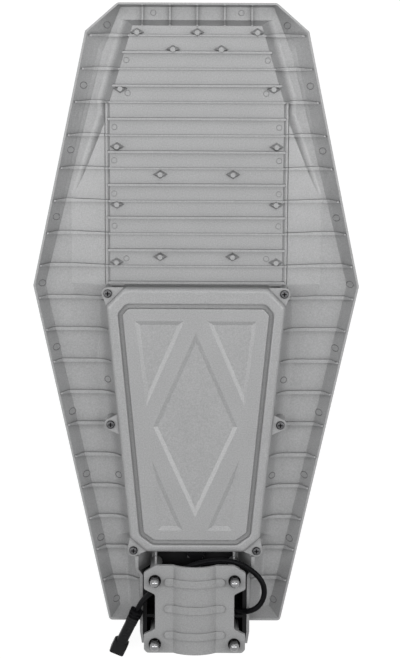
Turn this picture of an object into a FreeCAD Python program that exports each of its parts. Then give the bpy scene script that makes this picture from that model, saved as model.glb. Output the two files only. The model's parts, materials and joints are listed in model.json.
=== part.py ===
import FreeCAD, Part
import math
import os

# A solar street light head: a ribbed tray of moulded plastic with its light
# panel facing down, a battery box under a cover, and a neck that clamps a pole.
# Lengths are in millimetres.
# The origin is on the pole's axis, midway between the four clamp bolts.
# +Y runs from the pole to the lamp's tip, +Z comes out of the ribbed back,
# and +X is to the right with the back in view and the tip up.

# Pole clamp
pole_radius = 30.0
cap_wall = 4.0
cap_arch_rise = 7.7
cap_flange_thickness = 5.0
cap_tip_y = 49.3
cap_tail_y = -43.0
cap_corner_radius = 3.0
cap_band_rise = 2.0
cap_band_width = 7.9
cap_band_half_length = 31.0
cap_band_pitch = 27.8
cap_band_middle_y = 4.2
cap_relief = 0.8
pole_stop_y = 27.0
bolt_side_gap = 10.5
bolt_pitch_y = 67.0
lobe_reach = 11.2
lobe_tip_near = 8.9
lobe_tip_far = 8.1
lobe_tail_near = 9.8
lobe_tail_far = 6.1
lobe_tail_chamfer = 3.2
cap_tip_inset = 0.7
waist_inset = 0.2
waist_slope = 5.8

# Bolts, washers and acorn nuts
bolt_radius = 3.0
bolt_hole_clearance = 0.3
thread_clearance = 0.05
bolt_head_width = 10.0
bolt_head_height = 4.0
bolt_head_pocket_clearance = 0.25
washer_radius = 6.3
washer_thickness = 1.6
nut_hex_height = 5.0
nut_dome_radius = 4.9
nut_dome_height = 6.5
nut_chamfer_reach = 1.2
nut_chamfer_flat = 0.6
nut_top_edge = 1.0
bolt_end_in_nut = 7.0

# Saddle under the pole
saddle_wall = 3.0
saddle_side_wall = 2.0
saddle_side_clearance = 0.3
saddle_rib = 3.0
saddle_tail_y = -44.0
saddle_rib_places = (-44.0, -18.0, 20.0, 27.3)
pole_stop_height = 12.0
saddle_floor = 2.0
saddle_apron_gap = 0.3
cable_notch_half_width = 5.0
boss_clearance = 0.4

# Neck of the housing
neck_wall = 3.0
neck_top_drop = 12.0
neck_side_gap = 10.5
neck_tail_y = -46.0
neck_tail_taper = 2.0
neck_root_flare = 4.5
neck_root_step = 6.0
neck_root_slope = 13.0
neck_skirt_rise = 9.0
neck_skirt_slant = 40.0
neck_skirt_radius = 6.0
neck_boss_radius = 6.0
neck_boss_drop = 4.0
neck_rib = 2.0

# Housing tray: the rim's corners from the tip to the tail, right-hand side
skin = 2.5
rim_wall = 2.0
rim_corner_radius = 5.0
tray_depth = 16.5
tip_half = 79.3
tip_y = 612.2
shoulder_half = 111.6
shoulder_y = 584.2
wide_half = 165.8
wide_y = 328.3
tail_half = 89.4
tail_y = -26.5
facet_tip_in = 2.6
facet_tip_down = 4.2
facet_shoulder_in = 16.8
facet_shoulder_down = 20.9
facet_wide_in = 11.5
facet_tail_in = 10.8
facet_tail_up = 12.0
facet_steps = 4
facet_bow = 1.2
front_edge_grow = 1.0

# Raised light panel
panel_rise = 12.0
panel_tip_gap = 22.6
panel_tip_half = 64.5
panel_knee_y = 514.3
panel_half = 87.3
panel_tip_draft = 5.5
panel_slant = 55.0
panel_foot_radius = 10.0
recess_draft = 3.0
slope_step = 3.0
slope_root_radius = 5.0
slope_foot_reach = 40.0
slope_start_drop = 1.0
slope_end_y = 388.0
slope_fade_length = 75.0

# Stiffening ribs
rib_height = 4.0
rib_top_width = 1.8
rib_foot_width = 4.2
rib_first_y = 580.0
rib_pitch = 33.1
rib_count = 18
panel_rib_width = 2.3
panel_rib_foot_width = 3.6
panel_rib_count = 8
panel_rib_stub = 3.0
tip_rib_pitch = 27.4
tip_rib_count = 5

# Screw bosses on the panel's back: right-hand side, (x, y)
rim_screw_places = ((60.0, 583.0), (76.8, 527.2), (80.4, 469.5), (80.4, 411.2), (80.9, 352.5))
middle_screw_place = (0.0, 583.0)
board_screw_places = ((24.1, 566.3), (36.7, 441.7), (36.7, 358.1))
panel_boss_radius = 2.5
panel_boss_foot_radius = 3.6
panel_boss_rise = 6.5
panel_boss_root_reach = 7.5
panel_boss_root_half_width = 4.6
panel_boss_root_rise = 3.5
panel_boss_root_draft = 1.8
panel_screw_radius = 1.5
panel_screw_end_gap = 2.0

# Battery box and its cover: the cover's corners, right-hand side, (x, y)
cover_corners = ((73.0, 329.0), (91.0, 310.6), (67.2, 68.4), (50.0, 53.4))
cover_panel_corners = ((68.8, 308.0), (74.4, 301.3), (53.3, 74.0), (42.0, 65.6))
cover_screw_places = ((89.2, 322.7), (86.7, 187.4), (63.6, 54.2))
box_wall = 2.5
box_inset = 1.0
box_depth = 27.0
box_skirt_rise = 14.0
box_skirt_slant = 51.0
box_skirt_radius = 18.0
seal_height = 1.5
ear_radius = 6.2
ear_thickness = 4.0
ear_post_radius = 6.0
ear_root_reach = 10.5
cover_band_height = 9.0
cover_band_round = 4.5
cover_corner_radius = 8.0
cover_groove_corner_radius = 7.0
cover_panel_corner_radius = 5.0
cover_groove_round = 2.2
cover_panel_round = 1.4
cover_groove_width = 4.0
cover_groove_depth = 5.5
cover_panel_drop = 1.5
cover_skin = 2.5
cover_clearance = 0.4
cover_pocket_depth = 2.0
cover_pocket_slope = 4.0
cover_pocket_upper = ((11.9, 295.2), (61.5, 295.2), (50.3, 206.7))
cover_pocket_lower = ((45.1, 152.2), (38.2, 76.8), (12.4, 76.8))
cover_pocket_diamond = ((0.0, 283.2), (43.0, 186.0), (0.0, 90.7), (-43.0, 186.0))
ear_hole_radius = 2.3

# Cover screws
cover_screw_radius = 2.0
cover_screw_head_radius = 4.3
cover_screw_head_height = 2.8
cover_screw_length = 14.0
cover_screw_crown_share = 0.55
cross_slot_length = 4.6
cross_slot_width = 1.1
cross_slot_depth = 1.6

# Cable and its grommet in the box's end wall
cable_radius = 2.85
cable_drop = 6.5
cable_exit_x = 1.0
grommet_length = 17.0
grommet_width = 18.0
grommet_height = 10.6
grommet_flange = 2.0
grommet_neck_width = 12.0
grommet_neck_height = 7.6
grommet_floor_gap = 0.2
grommet_taper_length = 6.0
grommet_nose_width = 9.0
grommet_nose_height = 8.0

# The cable's route from the grommet to the connector, chosen by hand
cable_points = (
    (1.0, 37.4, -36.5), (1.0, 26.0, -36.5), (4.0, 15.0, -36.6), (11.2, 5.6, -36.6),
    (21.0, -1.8, -34.8), (30.8, -6.6, -29.0), (38.2, -9.3, -20.4), (44.8, -10.4, -11.6),
    (53.2, -9.9, -5.6), (62.6, -6.3, -3.3), (69.6, 1.2, -3.0), (72.6, 11.4, -3.6),
    (70.6, 21.7, -4.2), (64.2, 30.7, -4.6), (54.6, 38.2, -4.4), (43.0, 44.0, -3.2),
    (30.8, 47.0, -0.6), (18.2, 47.8, 3.8), (5.6, 47.2, 9.0), (-6.6, 44.4, 13.8),
    (-17.8, 38.8, 16.6), (-28.4, 31.2, 17.2), (-38.0, 23.0, 15.0), (-45.8, 14.8, 9.8),
    (-51.7, 7.2, 3.6), (-56.6, -0.8, -1.6), (-60.92, -11.0, -6.0),
)

# Share of a straight run that each bend of the cable takes up
cable_bend_share = 0.45

# Connector that carries on the cable's last run, lengths along its own axis
plug_relief_overlap = 2.7
plug_relief_length = 5.7
plug_relief_core_radius = 4.1
plug_fin_width = 13.2
plug_fin_depth = 9.0
plug_fin_thickness = 1.5
plug_fin_pitch = 4.2
plug_fin_count = 2
plug_head_width = 11.8
plug_head_depth = 10.4
plug_head_rib = 2.0
plug_head_pitch = 3.3
plug_head_rib_count = 3
plug_body_width = 11.2
plug_body_depth = 9.8
plug_body_length = 36.6
plug_corner_radius = 2.6
plug_dimple_places = (21.4, 30.8)
plug_dimple_radius = 4.4
plug_dimple_depth = 1.0
plug_collar_width = 15.6
plug_collar_depth = 13.0
plug_collar_length = 15.5
plug_collar_slope = 4.6
plug_collar_corner = 2.2
plug_collar_round = 1.0
plug_socket_radius = 4.8
plug_socket_depth = 9.0
contact_radius = 0.9
contact_length = 6.5
contact_half_pitch = 1.9

# Light board, light sources and lens plate
board_margin = 10.0
board_thickness = 1.6
chip_size = 3.5
chip_thickness = 0.8
chip_rows = 8
chip_columns = 4
chip_row_pitch = 28.0
chip_column_pitch = 35.0
chip_first_y = 352.0
chip_edge_margin = 6.0
lens_gap = 0.5
lens_seal_width = 6.0
lens_seal_thickness = 1.5
lens_flange_thickness = 4.0
lens_plate_thickness = 2.0
lens_pocket_margin = 8.0
lens_dome_radius = 6.5
lens_dome_height = 3.0
lens_screw_head_radius = 3.2
lens_screw_head_height = 2.0
board_screw_head_radius = 2.8
board_screw_head_height = 1.5

# Battery pack and strap
cell_radius = 9.25
cell_count = 5
pack_length = 131.0
pack_tail_y = 112.0
strap_thickness = 1.2
strap_width = 14.0
strap_clearance = 0.3
strap_foot_length = 12.0
strap_boss_radius = 4.0
strap_boss_height = 5.0
small_screw_radius = 1.5
small_screw_head_radius = 2.8
small_screw_head_height = 2.0
small_screw_length = 6.0

# Controller board
controller_width = 92.0
controller_length = 54.0
controller_tail_y = 258.0
controller_thickness = 1.6
controller_post_radius = 3.5
controller_post_height = 5.0
controller_post_inset = 5.0

# Components on the controller board, y from the board's tail end:
# blocks (x, y, width, length, height), cans (x, y, radius, height)
block_components = ((-20.0, 3.0, 40.0, 9.0, 10.0), (20.0, 26.0, 13.0, 10.0, 2.0))
can_components = ((-24.0, 30.0, 5.0, 14.0), (-10.0, 30.0, 5.0, 14.0), (8.0, 32.0, 7.0, 8.0))

# Motion sensor
sensor_y = 86.0
sensor_well_radius = 16.0
sensor_well_draft = 2.0
sensor_well_depth = 8.0
sensor_dome_radius = 9.5
sensor_dome_lip = 2.5
sensor_dome_lip_thickness = 1.2
sensor_dome_wall = 1.2
sensor_board_thickness = 1.6
sensor_can_radius = 4.6
sensor_can_height = 4.2
sensor_clearance = 0.2

# How far tools and joined shapes run past each other, free length beyond
# a screw's end, and how closely a level edge must match its height
overlap = 1.0
screw_end_gap = 0.5
level_tolerance = 0.01

# Levels and places that follow from the sizes above
cable_z = -pole_radius - cable_drop
floor_z = cable_z - grommet_height / 2 - grommet_floor_gap
front_z = floor_z - skin
rim_z = front_z + tray_depth
panel_z = floor_z + panel_rise
panel_under_z = panel_z - skin
ear_z = floor_z + box_depth
box_top_z = ear_z - seal_height
cover_top_z = ear_z + cover_band_height
cover_panel_z = cover_top_z - cover_panel_drop
neck_top_z = -neck_top_drop
neck_boss_top_z = -neck_boss_drop
flange_top_z = pole_radius + cap_wall - cap_arch_rise
flange_under_z = flange_top_z - cap_flange_thickness
bolt_x = pole_radius + bolt_side_gap
bolt_y = bolt_pitch_y / 2
neck_half = bolt_x + neck_boss_radius + neck_side_gap
cover_tip_y = cover_corners[0][1]
box_tail_y = cover_corners[3][1] + box_inset
panel_tail_y = cover_tip_y - box_inset


def vector(x, y, z):
    return FreeCAD.Vector(x, y, z)


def mirrored(right):
    """Whole outline from its right-hand corners, tip to tail."""
    return list(right) + [(-x, y) for x, y in reversed(right)]


def both_sides(places):
    return list(places) + [(-x, y) for x, y in places]


def grown(points, distance):
    """The convex outline moved outwards by a distance."""
    count = len(points)
    lines = []
    for index in range(count):
        x0, y0 = points[index]
        x1, y1 = points[(index + 1) % count]
        length = math.hypot(x1 - x0, y1 - y0)
        normal_x = (y0 - y1) / length
        normal_y = (x1 - x0) / length
        lines.append((normal_x, normal_y, normal_x * x0 + normal_y * y0 + distance))
    corners = []
    for index in range(count):
        ax, ay, a = lines[index - 1]
        bx, by, b = lines[index]
        determinant = ax * by - ay * bx
        corners.append(((a * by - b * ay) / determinant, (ax * b - bx * a) / determinant))
    return corners


def ring(points, z):
    corners = [vector(x, y, z) for x, y in points]
    return Part.makePolygon(corners + corners[:1])


def plate(points, z_low, z_high):
    return Part.Face(ring(points, z_low)).extrude(vector(0, 0, z_high - z_low))


def frustum(low_points, z_low, high_points, z_high):
    return Part.makeLoft([ring(low_points, z_low), ring(high_points, z_high)], True, True)


def slab(x_low, x_high, y_low, y_high, z_low, z_high):
    return Part.makeBox(x_high - x_low, y_high - y_low, z_high - z_low, vector(x_low, y_low, z_low))


def post(x, y, radius, z_low, z_high):
    return Part.makeCylinder(radius, z_high - z_low, vector(x, y, z_low))


def rod_along_y(radius, y_low, y_high):
    return Part.makeCylinder(radius, y_high - y_low, vector(0, y_low, 0), vector(0, 1, 0))


def across(profile, y_low, y_high):
    """A solid with the same (x, z) profile from one y to another."""
    corners = [vector(x, y_low, z) for x, z in profile]
    face = Part.Face(Part.makePolygon(corners + corners[:1]))
    return face.extrude(vector(0, y_high - y_low, 0))


def hexagon(x, y, width, z_low, z_high):
    corner = width / math.sqrt(3)
    points = []
    for index in range(6):
        angle = math.radians(60 * index)
        points.append((x + corner * math.cos(angle), y + corner * math.sin(angle)))
    return plate(points, z_low, z_high)


def fused(shapes):
    return shapes[0].multiFuse(shapes[1:]).removeSplitter()


def cut_away(shape, tools):
    return shape.cut(Part.makeCompound(tools))


def tangent_foot(height, slant, radius):
    """Run of a side that falls at a slant and ends in an arc along its base.

    Returns how far out the straight stretch ends, how far out the arc ends,
    and the height at which one passes into the other."""
    turn = math.radians(slant)
    arc_top = radius * (1 - math.cos(turn))
    straight_reach = (height - arc_top) / math.tan(turn)
    return straight_reach, straight_reach + radius * math.sin(turn), arc_top


def skirt_side(place, direction, length, height, slant, radius, z_base):
    """Space outside one side of a raised block, above its slant and its curved foot."""
    straight_reach, foot_reach, arc_top = tangent_foot(height, slant, radius)
    outward = vector(-direction.y, direction.x, 0)
    spare = foot_reach + height
    start = place - direction * spare

    def spot(out, up):
        return start + outward * out + vector(0, 0, z_base + up)

    far = foot_reach + spare
    top = height + spare
    corners = [
        spot(foot_reach, 0), spot(foot_reach, -spare), spot(far, -spare),
        spot(far, top), spot(0, top), spot(0, height), spot(straight_reach, arc_top),
    ]
    edges = [Part.makeLine(low, high) for low, high in zip(corners[:-1], corners[1:])]
    if radius > 0:
        half_turn = math.radians(slant) / 2
        middle = spot(foot_reach - radius * math.sin(half_turn), radius * (1 - math.cos(half_turn)))
        edges.append(Part.Arc(corners[-1], middle, corners[0]).toShape())
    face = Part.Face(Part.Wire(edges))
    return face.extrude(direction * (length + 2 * spare))


def skirt(points, z_base, height, slants, radii):
    """Raised block over a convex outline, with a slant and a foot radius for each side."""
    reach = max(tangent_foot(height, slant, radius)[1] for slant, radius in zip(slants, radii))
    block = plate(grown(points, reach), z_base, z_base + height)
    for index, (x, y) in enumerate(points):
        next_x, next_y = points[(index + 1) % len(points)]
        run = vector(next_x - x, next_y - y, 0)
        direction = vector(*run).normalize()
        block = block.cut(skirt_side(
            vector(x, y, 0), direction, run.Length, height, slants[index], radii[index], z_base,
        ))
    return block


def rounded_plate(points, corner_radius, z_low, z_high):
    """Plate whose upright corners are rounded."""
    sharp = plate(points, z_low, z_high)
    upright = [edge for edge in sharp.Edges if abs(edge.tangentAt(edge.FirstParameter).z) > 0.9]
    return sharp.makeFillet(corner_radius, upright)


def bolt_places():
    return [(sx * bolt_x, sy * bolt_y) for sx in (-1, 1) for sy in (-1, 1)]


def lens_screw_places():
    return both_sides(rim_screw_places) + [middle_screw_place]


def rim_outline():
    return mirrored((
        (tip_half, tip_y),
        (shoulder_half, shoulder_y),
        (wide_half, wide_y),
        (tail_half, tail_y),
    ))


def floor_outline():
    return mirrored((
        (tip_half - facet_tip_in, tip_y - facet_tip_down),
        (shoulder_half - facet_shoulder_in, shoulder_y - facet_shoulder_down),
        (wide_half - facet_wide_in, wide_y),
        (tail_half - facet_tail_in, tail_y + facet_tail_up),
    ))


def tray_hollow():
    """The tray's inside: its facets steepen from the floor to the rim."""
    low = floor_outline()
    high = grown(rim_outline(), -rim_wall)
    rings = []
    for step in range(facet_steps + 1):
        share = step / facet_steps
        points = [
            (x0 + share * (x1 - x0), y0 + share * (y1 - y0))
            for (x0, y0), (x1, y1) in zip(low, high)
        ]
        rings.append(ring(points, floor_z + share ** facet_bow * (rim_z - floor_z)))
    return Part.makeLoft(rings, True, True)


def tray_envelope():
    """The tray's outer shape, with its corners rounded."""
    sharp = frustum(grown(floor_outline(), front_edge_grow), front_z, rim_outline(), rim_z)
    slanted = [edge for edge in sharp.Edges if abs(edge.tangentAt(edge.FirstParameter).z) > 0.1]
    return sharp.makeFillet(rim_corner_radius, slanted)


def panel_outline():
    tip = (panel_tip_half, tip_y - panel_tip_gap)
    return mirrored((tip, (panel_half, panel_knee_y), (panel_half, panel_tail_y)))


def panel_half_at(y):
    if y < panel_knee_y:
        return panel_half
    share = (y - panel_knee_y) / (tip_y - panel_tip_gap - panel_knee_y)
    return panel_half + share * (panel_tip_half - panel_half)


def recess_outline():
    return grown(panel_outline(), -skin)


def cover_outline():
    return mirrored(cover_corners)


def box_outline():
    return grown(cover_outline(), -box_inset)


def neck_outline(grow, tail_run):
    return mirrored((
        (neck_half + neck_root_flare + overlap + grow, box_tail_y + overlap),
        (neck_half + neck_root_flare + grow, bolt_y),
        (neck_half + grow, bolt_y - neck_root_step),
        (neck_half + grow, -bolt_y),
        (neck_half - neck_tail_taper + grow, neck_tail_y - tail_run),
    ))


def neck_skirt():
    """Slope outside the neck's walls."""
    outline = mirrored((
        (neck_half + neck_root_flare + overlap, box_tail_y + overlap),
        (neck_half - neck_tail_taper, neck_tail_y),
    ))
    slants = [neck_skirt_slant] * len(outline)
    radii = [neck_skirt_radius] * len(outline)
    return skirt(outline, floor_z, neck_skirt_rise, slants, radii)


def neck_roots():
    """Slopes inside the neck, where its walls thicken into the box's end."""
    wall_x = neck_half + neck_root_flare - neck_wall
    low_y = bolt_y - neck_root_step + neck_wall
    profile = (
        (wall_x + neck_wall / 2, floor_z),
        (wall_x - neck_root_slope, floor_z),
        (wall_x, neck_top_z),
        (wall_x + neck_wall / 2, neck_top_z),
    )
    return mirror_pair(across(profile, low_y, box_tail_y + box_wall / 2))


def panel_block():
    """The raised panel: drafted at the tip, slanted and curved out elsewhere."""
    outline = panel_outline()
    tip_slant = math.degrees(math.atan2(panel_rise, panel_tip_draft))
    slants = [panel_slant] * len(outline)
    radii = [panel_foot_radius] * len(outline)
    slants[-1] = tip_slant
    radii[-1] = 0
    return skirt(outline, floor_z, panel_rise, slants, radii)


def box_skirt():
    """Slope and curved foot round the battery box."""
    outline = box_outline()
    slants = [box_skirt_slant] * len(outline)
    radii = [box_skirt_radius] * len(outline)
    return skirt(outline, floor_z, box_skirt_rise, slants, radii)


def mirror_pair(right):
    return [right, right.mirror(vector(0, 0, 0), vector(1, 0, 0))]


def slope_body(drop):
    """Plain slope beside the panel that falls outwards to the floor, right-hand side."""
    inner_x = panel_half - skin
    foot_x = panel_half + slope_foot_reach
    low_z = front_z - drop
    profile = (
        (inner_x, low_z),
        (inner_x, panel_z - slope_step - drop),
        (foot_x, floor_z - drop),
        (foot_x, low_z),
    )
    return across(profile, cover_tip_y + drop, panel_knee_y)


def slope_shadow(drop):
    """The slope seen from above; the step at its tip end runs aslant."""
    inner_x = panel_half - skin
    foot_x = panel_half + slope_foot_reach
    return (
        (inner_x, panel_knee_y - slope_start_drop - drop),
        (foot_x, slope_end_y - drop),
        (foot_x, cover_tip_y + drop),
        (inner_x, cover_tip_y + drop),
    )


def side_slopes():
    height = panel_rise - slope_step
    slants = (panel_slant, panel_slant, panel_slant, panel_slant)
    radii = (panel_foot_radius, 0, 0, 0)
    return mirror_pair(slope_body(0.0).common(skirt(slope_shadow(0.0), floor_z, height, slants, radii)))


def slope_hollows():
    shadow = plate(slope_shadow(skin), front_z - skin, rim_z)
    return mirror_pair(slope_body(skin).common(shadow))


def slope_roots():
    """Curved foot between the panel's long sides and the slopes."""
    fall = (panel_rise - slope_step) / slope_foot_reach
    height = slope_step + slope_root_radius * fall
    base_z = panel_z - height
    low_y = cover_tip_y
    high_y = panel_knee_y - slope_start_drop
    _, foot_reach, _ = tangent_foot(height, panel_slant, slope_root_radius)
    stretch = slab(panel_half - skin, panel_half + foot_reach, low_y, high_y, base_z, panel_z)
    place = vector(panel_half, high_y, 0)
    outside = skirt_side(
        place, vector(0, -1, 0), high_y - low_y, height, panel_slant, slope_root_radius, base_z,
    )
    return mirror_pair(stretch.cut(outside))


def slope_fade():
    """The slope's end, which sinks into the foot of the battery box."""
    fade_y = cover_tip_y - slope_fade_length
    inner_x = panel_half - skin
    foot_x = panel_half + slope_foot_reach
    wall_x = cover_side_x(fade_y) - box_inset
    _, box_foot, _ = tangent_foot(box_skirt_rise, box_skirt_slant, box_skirt_radius)
    near = ((inner_x, floor_z), (inner_x, panel_z - slope_step), (foot_x, floor_z))
    far = (
        (wall_x - box_wall, floor_z),
        (wall_x - box_wall, floor_z + overlap),
        (wall_x + box_foot, floor_z),
    )
    wires = []
    for profile, y in ((near, cover_tip_y), (far, fade_y)):
        corners = [vector(x, y, z) for x, z in profile]
        wires.append(Part.makePolygon(corners + corners[:1]))
    return mirror_pair(Part.makeLoft(wires, True, True))


def cross_bar(y, reach, foot_width, top_width, z_low, z_high):
    """Rib across the part with drafted sides."""
    half_foot = foot_width / 2
    half_top = top_width / 2
    section = (
        (y - half_foot, z_low), (y - half_top, z_high),
        (y + half_top, z_high), (y + half_foot, z_low),
    )
    corners = [vector(-reach, place, z) for place, z in section]
    face = Part.Face(Part.makePolygon(corners + corners[:1]))
    return face.extrude(vector(2 * reach, 0, 0))


def side_ribs(land, envelope):
    """Ribs that follow the tray's surface at one height above it."""
    stock = land.translated(vector(0, 0, rib_height)).common(envelope)
    bars = []
    for index in range(rib_count):
        y = rib_first_y - rib_pitch * index
        bars.append(cross_bar(y, wide_half, rib_foot_width, rib_top_width, floor_z, rim_z))
    for index in range(tip_rib_count):
        x = (index - (tip_rib_count - 1) / 2) * tip_rib_pitch
        half = rib_top_width / 2
        bars.append(slab(x - half, x + half, tip_y - panel_tip_gap, tip_y, floor_z, rim_z))
    return [stock.common(bar) for bar in bars]


def panel_ribs():
    ribs = []
    half_top = panel_rib_width / 2
    half_foot = panel_rib_foot_width / 2
    low_z = panel_z - slope_step
    high_z = panel_z + rib_height
    for index in range(panel_rib_count):
        y = rib_first_y - rib_pitch * (index + 0.5)
        reach = panel_half_at(y) + panel_rib_stub - half_foot
        ribs.append(cross_bar(y, reach, panel_rib_foot_width, panel_rib_width, low_z, high_z))
        for x in (-reach, reach):
            ribs.append(Part.makeCone(half_foot, half_top, high_z - low_z, vector(x, y, low_z)))
    return ribs


def panel_boss(x, y):
    """Drafted pin on a pointed root."""
    low_z = panel_z - skin / 2
    pin = Part.makeCone(
        panel_boss_foot_radius, panel_boss_radius, panel_z + panel_boss_rise - low_z, vector(x, y, low_z),
    )
    reach = panel_boss_root_reach
    half = panel_boss_root_half_width
    foot = [(x + reach, y), (x, y - half), (x - reach, y), (x, y + half)]
    top = grown(foot, -panel_boss_root_draft)
    return [pin, frustum(foot, panel_z, top, panel_z + panel_boss_root_rise)]


def controller_post_places():
    x = controller_width / 2 - controller_post_inset
    low_y = controller_tail_y + controller_post_inset
    high_y = controller_tail_y + controller_length - controller_post_inset
    return [(-x, low_y), (x, low_y), (-x, high_y), (x, high_y)]


def strap_half():
    return cell_count * cell_radius + strap_clearance


def strap_screw_places():
    x = strap_half() + strap_thickness + strap_foot_length / 2
    y = pack_tail_y + pack_length / 2
    return [(-x, y), (x, y)]


def housing():
    envelope = tray_envelope()
    land = [envelope.cut(tray_hollow()), panel_block(), box_skirt()]
    land += side_slopes() + slope_roots() + slope_fade()
    land.append(neck_skirt().common(envelope))
    land = fused(land)

    solid = [land] + side_ribs(land, envelope) + panel_ribs()
    for x, y in lens_screw_places() + both_sides(board_screw_places):
        solid += panel_boss(x, y)
    solid.append(plate(box_outline(), front_z, box_top_z))
    solid.append(plate(neck_outline(0, 0), front_z, neck_top_z))
    body = fused(solid)

    hollows = [plate(grown(box_outline(), -box_wall), floor_z, ear_z)]
    recess = recess_outline()
    hollows.append(frustum(grown(recess, recess_draft), front_z, recess, panel_under_z))
    hollows += slope_hollows()
    hollows.append(plate(neck_hollow(), floor_z, neck_boss_top_z))
    body = cut_away(body, hollows)

    root_z = floor_z - skin / 2
    added = []
    for x, y in both_sides(cover_screw_places):
        added.append(post(x, y, ear_post_radius, root_z, ear_z))
    for x, y in bolt_places():
        added.append(post(x, y, neck_boss_radius, root_z, neck_boss_top_z))
    for x in (-bolt_x, bolt_x):
        half = neck_rib / 2
        added.append(slab(x - half, x + half, bolt_y, box_tail_y + box_wall / 2, root_z, neck_top_z))
    added += neck_roots()
    for x, y in strap_screw_places():
        added.append(post(x, y, strap_boss_radius, root_z, floor_z + strap_boss_height))
    for x, y in controller_post_places():
        added.append(post(x, y, controller_post_radius, root_z, floor_z + controller_post_height))
    added.append(post(0, sensor_y, sensor_well_radius + skin, root_z, sensor_roof_z()))
    body = fused([body] + added)
    body = cut_away(body, housing_holes())
    return body.removeSplitter()


def neck_hollow():
    inner = neck_outline(-neck_wall, overlap + neck_wall)
    return [(x, min(y, box_tail_y)) for x, y in inner]


def under_cover():
    """Room above the box's rim for the gasket, the cover and its tail lugs."""
    gasket_room = plate(box_outline(), box_top_z, neck_boss_top_z)
    posts = [post(x, y, ear_post_radius, box_top_z, ear_z) for x, y in both_sides(cover_screw_places)]
    lug_y = cover_screw_places[2][1] - ear_radius - cover_clearance
    lug_room = slab(-tail_half, tail_half, lug_y, box_tail_y + box_wall, ear_z, neck_boss_top_z)
    return [cut_away(gasket_room, posts), lug_room]


def housing_holes():
    holes = under_cover()
    for x, y in bolt_places():
        holes.append(post(x, y, bolt_radius + bolt_hole_clearance, front_z, neck_boss_top_z))
        pocket_width = bolt_head_width + 2 * bolt_head_pocket_clearance
        pocket_top_z = front_z + bolt_head_height + bolt_head_pocket_clearance
        holes.append(hexagon(x, y, pocket_width, front_z, pocket_top_z))
    for x, y in both_sides(cover_screw_places):
        pilot_radius = cover_screw_radius + thread_clearance
        pilot_z = ear_z + ear_thickness - cover_screw_length - screw_end_gap
        holes.append(post(x, y, pilot_radius, pilot_z, ear_z))
    for x, y in lens_screw_places() + both_sides(board_screw_places):
        pilot_radius = panel_screw_radius + thread_clearance
        holes.append(post(x, y, pilot_radius, panel_under_z, panel_screw_end_z() + screw_end_gap))
    for x, y in strap_screw_places():
        pilot_radius = small_screw_radius + thread_clearance
        holes.append(post(x, y, pilot_radius, floor_z - skin / 4, floor_z + strap_boss_height))
    for x, y in controller_post_places():
        pilot_radius = small_screw_radius + thread_clearance
        holes.append(post(x, y, pilot_radius, floor_z - skin / 4, floor_z + controller_post_height))
    well_low = sensor_well_radius
    well_high = sensor_well_radius - sensor_well_draft
    holes.append(Part.makeCone(well_low, well_high, sensor_well_depth, vector(0, sensor_y, front_z)))
    dome_hole = sensor_dome_radius + sensor_clearance
    holes.append(post(0, sensor_y, dome_hole, front_z, front_z + sensor_well_depth + skin))
    half_width = grommet_neck_width / 2
    half_height = grommet_neck_height / 2
    holes.append(slab(
        cable_exit_x - half_width, cable_exit_x + half_width,
        box_tail_y - box_wall, box_tail_y + 2 * box_wall,
        cable_z - half_height, cable_z + half_height,
    ))
    return holes


def cover_side_x(y):
    """Half-width of the cover at a place along its straight side."""
    x0, y0 = cover_corners[1]
    x1, y1 = cover_corners[2]
    return x0 + (y - y0) / (y1 - y0) * (x1 - x0)


def ear_outline(place, first, last, directions):
    """Lug's outline between two points of the cover's edge, round its screw."""
    x, y = place
    rounded = [(x + ear_radius * dx, y + ear_radius * dy) for dx, dy in directions]
    return [first] + rounded + [last]


def cover_ears(z_low, z_high):
    tip, middle, tail = cover_screw_places
    slant = math.sqrt(0.5)
    high = middle[1] + ear_root_reach
    low = middle[1] - ear_root_reach
    outlines = (
        ear_outline(tip, cover_corners[0], cover_corners[1], ((0, 1), (1, 0))),
        ear_outline(
            middle, (cover_side_x(high), high), (cover_side_x(low), low),
            ((slant, slant), (1, 0), (slant, -slant)),
        ),
        ear_outline(tail, cover_corners[2], cover_corners[3], ((1, 0), (0, -1))),
    )
    ears = []
    for place, outline in zip(cover_screw_places, outlines):
        ears += mirror_pair(plate(outline, z_low, z_high))
    ears += [post(x, y, ear_radius, z_low, z_high) for x, y in both_sides(cover_screw_places)]
    return ears


def cover_pocket(points):
    """Pocket with sloped sides in the cover's panel."""
    top_z = cover_panel_z
    low_z = top_z - cover_pocket_depth
    return frustum(grown(points, -cover_pocket_slope), low_z, points, top_z)


def cover_pockets():
    pockets = [cover_pocket(cover_pocket_diamond)]
    for points in (cover_pocket_upper, cover_pocket_lower):
        pockets += mirror_pair(cover_pocket(points))
    return pockets


def edges_at(shape, z, inside_of):
    """Level edges of a shape at a height and inside an outline."""
    found = []
    for edge in shape.Edges:
        box = edge.BoundBox
        level = abs(box.ZMin - z) < level_tolerance and abs(box.ZMax - z) < level_tolerance
        if level and inside_outline(box.Center.x, box.Center.y, inside_of):
            found.append(edge)
    return found


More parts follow.
